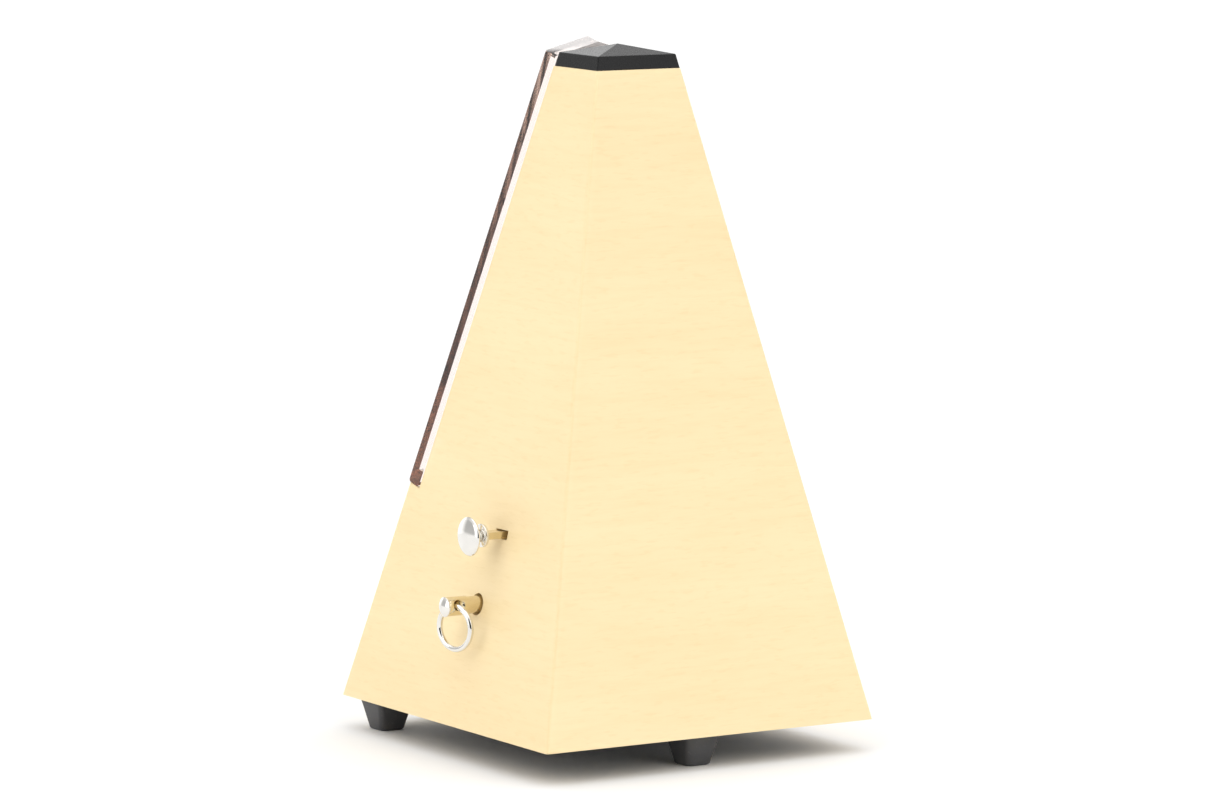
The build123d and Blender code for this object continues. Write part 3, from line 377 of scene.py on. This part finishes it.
bell_low, bell_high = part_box("bell")
bell_radius = (bell_high.x - bell_low.x) / 2
bell_height = bell_high.z - bell_low.z
bell_wall = 1.0 * mm
crown, straight, lip = 6.0 * mm, 3.0 * mm, 0.3 * mm
bell_hole = 1.55 * mm
bell_profile = [
    (bell_hole, bell_height),
    *quarter((crown, straight), (bell_radius - crown, bell_height - straight), 90, 0, 20),
    (bell_radius, lip),
    *quarter((bell_radius - lip, lip), (lip, lip), 0, -90, 4),
    *quarter((bell_radius - bell_wall + lip, lip), (lip, lip), -90, -180, 4),
    *quarter(
        (crown, straight), (bell_radius - bell_wall - crown, bell_height - bell_wall - straight), 0, 90, 20
    ),
    (bell_hole, bell_height - bell_wall),
]
bell_foot = ((bell_low.x + bell_high.x) / 2, (bell_low.y + bell_high.y) / 2, bell_low.z)
bell = turned("bell_dome", bell_profile, bell_foot, (0, 0, 1), bell_brass, "case")
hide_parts("bell")
dress("bell_bracket", steel, 0.1 * mm)
dress("bell_screw", steel, 0.2 * mm)
dress("hammer_lever", steel, 0.06 * mm)
dress("hammer_head", brass, 0.3 * mm)

# ---- Inner panel, scale and rod catch ---------------------------------------------------------
# A sloping black panel closes the case behind the pendulum. The tempo scale is a satin aluminium
# strip with printed lines and numbers, held by four pins, and a brass catch stands at its top.

panel_plastic = black_moulding("black panel plastic", 0.02, 2200, 0.58)
dress("inner_front_panel", panel_plastic, 0.15 * mm)
satin = metal("satin aluminium", (0.80, 0.79, 0.76), 0.36, (0.08, 1, 1), 1500, 0.01, 0.08)
dress("scale_plate", satin, 0.08 * mm)
dress("scale_pins", steel, 0.15 * mm)

tempos = [*range(40, 60, 2), *range(60, 72, 3), *range(72, 120, 4), *range(120, 144, 6), *range(144, 209, 8)]
scale_low, scale_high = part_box("scale_plate")
ink = Recipe("black scale ink", (0.015, 0.015, 0.016), 0.5)
worn = ink.noise(2500, detail=3.0)
ink.join(ink.ramp(worn, [(0.3, 0.03), (0.5, 0.012)]), ink.shader.inputs["Base Color"])
ink.join(ink.span(worn, 0.4, 0.6), ink.shader.inputs["Roughness"])
print_tilt = atan2(scale_high.y - scale_low.y, scale_high.z - scale_low.z)
scale_up = Vector((0, sin(print_tilt), cos(print_tilt)))
scale_out = Vector((0, -cos(print_tilt), sin(print_tilt)))
plate = nodes["scale_plate"].data
face_level = max(Vector(v.co).dot(scale_out) for v in plate.vertices)
plate_start = min(Vector(v.co).dot(scale_up) for v in plate.vertices)
plate_end = max(Vector(v.co).dot(scale_up) for v in plate.vertices)
first_mark, last_mark = 5.0 * mm, 5.0 * mm
mark_span = plate_end - plate_start - first_mark - last_mark
print_lift = 0.03 * mm
number_place, number_size = 6.0 * mm, 2.3 * mm


def on_scale(across, along, lift):
    """A point on the scale: across it, along it from its lower end, and proud of its face."""
    return Vector((across, 0, 0)) + scale_up * (plate_start + along) + scale_out * (face_level + lift)


def tempo_mark(tempo):
    share = ((tempo - tempos[0]) / (tempos[-1] - tempos[0])) ** 0.8
    return first_mark + mark_span * (1 - share)


points, faces = [], []
for index, tempo in enumerate(tempos):
    place = tempo_mark(tempo)
    side = -1 if index % 2 else 1
    inner, outer, half_line = 2.2 * mm * side, 4.4 * mm * side, 0.09 * mm
    start = len(points)
    for lift in (-print_lift / 2, print_lift):
        for x, rise in ((inner, -half_line), (outer, -half_line), (outer, half_line), (inner, half_line)):
            points.append(on_scale(x, place + rise, lift))
    for ring in ((0, 1, 2, 3), (4, 5, 6, 7), (0, 1, 5, 4), (1, 2, 6, 5), (2, 3, 7, 6), (3, 0, 4, 7)):
        faces.append(tuple(start + k for k in ring))
lines = mesh_piece("scale_lines", points, faces, ink, "case", smooth=False)

turned_up = Matrix((Vector((1, 0, 0)), scale_up, scale_out)).transposed().to_4x4()
for index, tempo in enumerate(tempos):
    side = -1 if index % 2 else 1
    letters = bpy.data.curves.new(f"number_{tempo}", "FONT")
    letters.body = str(tempo)
    letters.size = number_size
    letters.extrude = print_lift / 2
    letters.align_x = "CENTER"
    letters.align_y = "CENTER"
    shape = bpy.data.objects.new(f"tempo_{tempo}", letters)
    spot = on_scale(number_place * side, tempo_mark(tempo), print_lift / 2)
    shape.matrix_world = Matrix.Translation(spot) @ turned_up
    letters.materials.append(ink.material)
    bpy.context.scene.collection.objects.link(shape)
    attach(shape, "case")
dress("rod_catch", brass, 0.1 * mm)

# ---- Pendulum ---------------------------------------------------------------------------------
# A flat steel rod with fine notches leans back, parked behind the cover. An iron bob hangs below
# its pivot, and a tapered nickelled weight slides on it above.

nickel = metal("polished nickel", (0.82, 0.80, 0.76), 0.07, (1, 1, 1), 500, 0.004, 0.05)
bob_paint = black_moulding("black bob paint", 0.035, 1500, 0.35)
weight_nickel = metal("satin nickel", (0.78, 0.76, 0.72), 0.2, (0.1, 1, 1), 1300, 0.008, 0.08)
dress("pendulum_rod", steel, 0.06 * mm)
dress("pendulum_hub", brass, 0.1 * mm)
dress("bob", bob_paint)
dress("bob_screw", steel, 0.15 * mm)
dress("sliding_weight", weight_nickel)

# ---- Bell pull --------------------------------------------------------------------------------
# A flat brass strip comes out through a slot in the right board. Its end carries a nickelled
# mushroom knob, 11.9 mm across, on a short neck with a collar behind it.

pale_brass = metal("pale brass", (0.78, 0.69, 0.49), 0.13, (8, 1, 1), 700, 0.01, 0.1)
for node in ("selector_strip", "selector_fork"):
    dress(node, pale_brass, 0.12 * mm)


def end_on(name):
    """Middle of a node's inner end, for a piece that lies along X."""
    low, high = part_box(name)
    return Vector((low.x, (low.y + high.y) / 2, (low.z + high.z) / 2)), high.x - low.x, (high.z - low.z) / 2


collar_start, collar_length, collar_radius = end_on("selector_collar")
ease = 0.35 * mm
collar_profile = [
    (1.4 * mm, 0),
    *quarter((collar_radius - ease, ease), (ease, ease), -90, 0),
    *quarter((collar_radius - ease, collar_length - ease), (ease, ease), 0, 90),
    (1.4 * mm, collar_length),
]
collar = turned("pull_collar", collar_profile, collar_start, (1, 0, 0), nickel, "bell_pull")
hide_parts("selector_collar")


def dome(ball, widest, top, steps):
    """Points over a ball's cap whose highest point is at top, from its widest angle inwards."""
    for step in range(1, steps):
        angle = widest * (1 - step / steps)
        yield (ball * sin(angle), top - ball + ball * cos(angle))


knob_start, knob_length, knob_radius = end_on("selector_knob")
neck, dome_rise, rim = 1.9 * mm, 1.3 * mm, 0.5 * mm
rim_middle = knob_length - dome_rise - rim
ball = (knob_radius**2 + dome_rise**2) / (2 * dome_rise)
dome_angle = asin((knob_radius - 0.2 * mm) / ball)
neck_length = 0.9 * mm
flare = knob_radius - 0.6 * mm
knob_profile = [
    (0.4 * mm, 0),
    (neck, 0),
    (neck, neck_length),
    *quarter((flare, neck_length), (flare - neck, rim_middle - 1.4 * mm), 180, 90, 14),
    *quarter((knob_radius - rim, rim_middle), (rim, rim), -90, 55, 10),
    *dome(ball, dome_angle, knob_length, 16),
    (0.05 * mm, knob_length),
]
knob = turned("pull_knob", knob_profile, knob_start, (1, 0, 0), nickel, "bell_pull")
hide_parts("selector_knob")

# ---- Winding key ------------------------------------------------------------------------------
# A turned brass shaft, stepped half way along, screws onto the winding arbor. A nickelled dome
# closes its end, and a nickelled wire ring hangs in a slanted eye just behind the dome.

dress("winding_key_shaft", pale_brass, 0.15 * mm, 3)

cap_start, cap_length, cap_radius = end_on("key_end_cap")
cap_edge, cap_ease = 0.6 * mm, 0.2 * mm
cap_dome = cap_length - cap_edge
cap_ball = (cap_radius**2 + cap_dome**2) / (2 * cap_dome)
cap_angle = asin((cap_radius - 0.12 * mm) / cap_ball)
cap_profile = [
    (0.3 * mm, 0),
    *quarter((cap_radius - cap_ease, cap_ease), (cap_ease, cap_ease), -90, 0, 4),
    *quarter((cap_radius - cap_ease, cap_edge - cap_ease / 2), (cap_ease, cap_ease), 0, 50, 4),
    *dome(cap_ball, cap_angle, cap_length, 14),
    (0.05 * mm, cap_length),
]
key_cap = turned("key_dome", cap_profile, cap_start, (1, 0, 0), nickel, "winding_key")
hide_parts("key_end_cap")

ring_joint = joints["key_ring_swing"]
eye = Vector(ring_joint["pos_m"])
tangent = Vector(ring_joint["axis"]).normalized()
ring_normal = tangent.cross(Vector((0, 0, 1))).normalized()
ring_down = ring_normal.cross(tangent).normalized()
ring_down = ring_down if ring_down.z < 0 else -ring_down
ring_radius, wire = 6.5 * mm, 0.9 * mm
ring_centre = eye + ring_down * ring_radius
wire_rings = []
round_steps, wire_steps = 160, 24
for k in range(round_steps):
    turn = 2 * pi * k / round_steps
    outward = tangent * cos(turn) + ring_down * sin(turn)
    wire_rings.append(
        [
            ring_centre
            + outward * (ring_radius + wire * cos(2 * pi * s / wire_steps))
            + ring_normal * wire * sin(2 * pi * s / wire_steps)
            for s in range(wire_steps)
        ]
    )
points, faces = skin(wire_rings, loop=True)
key_ring = mesh_piece("key_ring_wire", points, faces, nickel, "key_ring")
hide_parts("key_ring")

# ---- Cap --------------------------------------------------------------------------------------
# A moulded black cap with an upright band and a shallow four-sided roof, pushed into the top of
# the case. Its surface has the same fine mould texture, a little glossier than the base board.

cap_plastic = black_moulding("black cap plastic", 0.0015, 2300, 0.24, 0.27)
dress("top_cap", cap_plastic, 0.25 * mm, 3)

# ---- Front cover ------------------------------------------------------------------------------
# A clear tray of smoke-brown acrylic, 2 mm thick, that closes the front above the lower board.
# Light that travels along its walls comes out dark brown, and through them it is barely tinted. Its
# cut top edge is frosted.

acrylic = Recipe("smoke brown acrylic", (1.0, 0.965, 0.95), 0.03)
acrylic.put("IOR", 1.49)
acrylic.put("Transmission Weight", 1.0)
haze = acrylic.noise(900, detail=2.0)
acrylic.join(acrylic.span(haze, 0.015, 0.05), acrylic.shader.inputs["Roughness"])
acrylic.bump(acrylic.noise(40, detail=1.0), 0.05, 0.05 * mm)
heights = acrylic.add("ShaderNodeSeparateXYZ")
acrylic.join(acrylic.place, heights.inputs["Vector"])
crest = acrylic.add("ShaderNodeMapRange")
acrylic.join(heights.outputs["Z"], crest.inputs["Value"])
cover_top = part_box("front_cover")[1].z
for socket, value in (
    ("From Min", cover_top - 4.6 * mm), ("From Max", cover_top - 3.4 * mm), ("To Min", 1.0), ("To Max", 0.35)
):
    crest.inputs[socket].default_value = value
acrylic.join(crest.outputs["Result"], acrylic.shader.inputs["Transmission Weight"])
tint = acrylic.add("ShaderNodeVolumeAbsorption")
tint.inputs["Color"].default_value = (0.65, 0.48, 0.38, 1.0)
tint.inputs["Density"].default_value = 48.0
acrylic.join(tint.outputs["Volume"], acrylic.tree.nodes["Material Output"].inputs["Volume"])
dress("front_cover", acrylic, 0.25 * mm, 3)

# ---- Studio -----------------------------------------------------------------------------------
# A white table top and a white backdrop in a grey room, soft boxes round the case, and a long-lens
# camera that looks down a little at the case from behind its right side.

azimuth, elevation, roll = radians(146.81), radians(7.315), radians(0.575)
back = Vector((sin(azimuth) * cos(elevation), -cos(azimuth) * cos(elevation), sin(elevation)))
right = Vector((cos(azimuth), sin(azimuth), 0))
up = back.cross(right)
away = Vector((-back.x, -back.y, 0)).normalized()

table_back, table_front, table_side = 0.4, 1.1, 1.3
floor_mesh = bpy.data.meshes.new("floor")
table_corners = [
    away * along + right * side
    for along, side in (
        (-table_front, -table_side),
        (-table_front, table_side),
        (table_back, table_side),
        (table_back, -table_side),
    )
]
floor_mesh.from_pydata([tuple(corner) for corner in table_corners], [], [(0, 1, 2, 3)])
floor = bpy.data.objects.new("floor", floor_mesh)
bpy.context.scene.collection.objects.link(floor)
paper = Recipe("white paper", (0.9, 0.9, 0.9), 0.9)
paper.join(
    paper.ramp(paper.noise(30, detail=2.0), [(0.3, 0.895), (0.7, 0.905)]), paper.shader.inputs["Base Color"]
)
floor_mesh.materials.append(paper.material)


def soft_box(name, place, aim, size, power):
    light = bpy.data.lights.new(name, "AREA")
    light.shape = "RECTANGLE"
    light.size, light.size_y = size
    light.energy = power
    holder = bpy.data.objects.new(name, light)
    holder.location = place
    holder.rotation_euler = (Vector(aim) - Vector(place)).to_track_quat("-Z", "Y").to_euler()
    holder.visible_camera = False
    bpy.context.scene.collection.objects.link(holder)


soft_box("right box", (1.3, 0.1, 0.45), (0, 0, 0.1), (1.1, 0.9), 3.5)
soft_box("back box", (-0.45, 1.35, 0.5), (0, 0, 0.1), (1.0, 0.9), 3.9)
soft_box("left box", (-1.4, -0.7, 0.8), (0, 0, 0.1), (0.9, 1.0), 3.0)
soft_box("top box", (0.1, 0.1, 1.7), (0, 0, 0.1), (2.6, 2.6), 18.0)

world = bpy.data.worlds.new("studio")
bpy.context.scene.world = world
world.use_nodes = True
sky = world.node_tree


def sky_ramp(along, stops):
    """A grey for each direction, from how far the direction points along an axis (-1 to 1)."""
    turn = sky.nodes.new("ShaderNodeVectorMath")
    turn.operation = "DOT_PRODUCT"
    turn.inputs[1].default_value = along
    sky.links.new(sky_direction.outputs["Generated"], turn.inputs[0])
    spread = sky.nodes.new("ShaderNodeMapRange")
    spread.inputs["From Min"].default_value = -1.0
    sky.links.new(turn.outputs["Value"], spread.inputs["Value"])
    ramp = sky.nodes.new("ShaderNodeValToRGB")
    while len(ramp.color_ramp.elements) < len(stops):
        ramp.color_ramp.elements.new(0.5)
    for element, (position, grey) in zip(ramp.color_ramp.elements, stops):
        element.position = (position + 1) / 2
        element.color = (grey, grey, grey, 1.0)
    sky.links.new(spread.outputs["Result"], ramp.inputs["Fac"])
    return ramp.outputs["Color"]


sky_direction = sky.nodes.new("ShaderNodeTexCoord")


def sky_mix(mode, first, second, amount=1.0):
    mix = sky.nodes.new("ShaderNodeMix")
    mix.data_type, mix.blend_type = "RGBA", mode
    if isinstance(amount, float):
        mix.inputs["Factor"].default_value = amount
    else:
        sky.links.new(amount, mix.inputs["Factor"])
    sky.links.new(first, mix.inputs["A"])
    sky.links.new(second, mix.inputs["B"])
    return mix.outputs["Result"]


room_tone = sky_ramp((0, 0, 1), [(-0.05, 1.0), (0.0, 0.62), (0.35, 0.58), (0.6, 0.95), (0.95, 0.8)])
sweep_tone = sky_ramp((0, 0, 1), [(0.0, 1.3), (0.34, 1.55), (0.47, 0.8), (0.8, 0.45)])
sweep_reach = sky_ramp(tuple(away), [(0.35, 0.0), (0.6, 1.0)])
dark_reach = sky_ramp(tuple(-away), [(0.8, 1.0), (0.87, 0.03)])
sky_tone = sky_mix("MULTIPLY", sky_mix("MIX", room_tone, sweep_tone, sweep_reach), dark_reach)
room = sky.nodes.new("ShaderNodeBackground")
sky.links.new(sky_tone, room.inputs["Color"])
backdrop = sky.nodes["Background"]
backdrop.inputs["Color"].default_value = (1.0, 1.0, 1.0, 1.0)
backdrop.inputs["Strength"].default_value = 1.05
paths = sky.nodes.new("ShaderNodeLightPath")
choice = sky.nodes.new("ShaderNodeMixShader")
sky.links.new(paths.outputs["Is Camera Ray"], choice.inputs["Fac"])
sky.links.new(room.outputs["Background"], choice.inputs[1])
sky.links.new(backdrop.outputs["Background"], choice.inputs[2])
sky.links.new(choice.outputs["Shader"], sky.nodes["World Output"].inputs["Surface"])
bpy.context.scene.view_settings.view_transform = "Standard"
light_paths = bpy.context.scene.cycles
light_paths.max_bounces = light_paths.transmission_bounces = light_paths.glossy_bounces = 80

camera_distance, focal_length = 1906.8 * mm, 185.25
aim = Vector((0, 0, 108.59 * mm)) - right * 0.4 * mm - up * 4.99 * mm
leaning_right = right * cos(roll) + up * sin(roll)
leaning_up = up * cos(roll) - right * sin(roll)
camera_data = bpy.data.cameras.new("camera")
camera_data.lens = focal_length
camera_data.sensor_width = 36
camera_data.clip_start = 0.05
camera = bpy.data.objects.new("camera", camera_data)
turned_axes = Matrix((leaning_right, leaning_up, back)).transposed().to_4x4()
camera.matrix_world = Matrix.Translation(aim + back * camera_distance) @ turned_axes
bpy.context.scene.collection.objects.link(camera)
bpy.context.scene.camera = camera
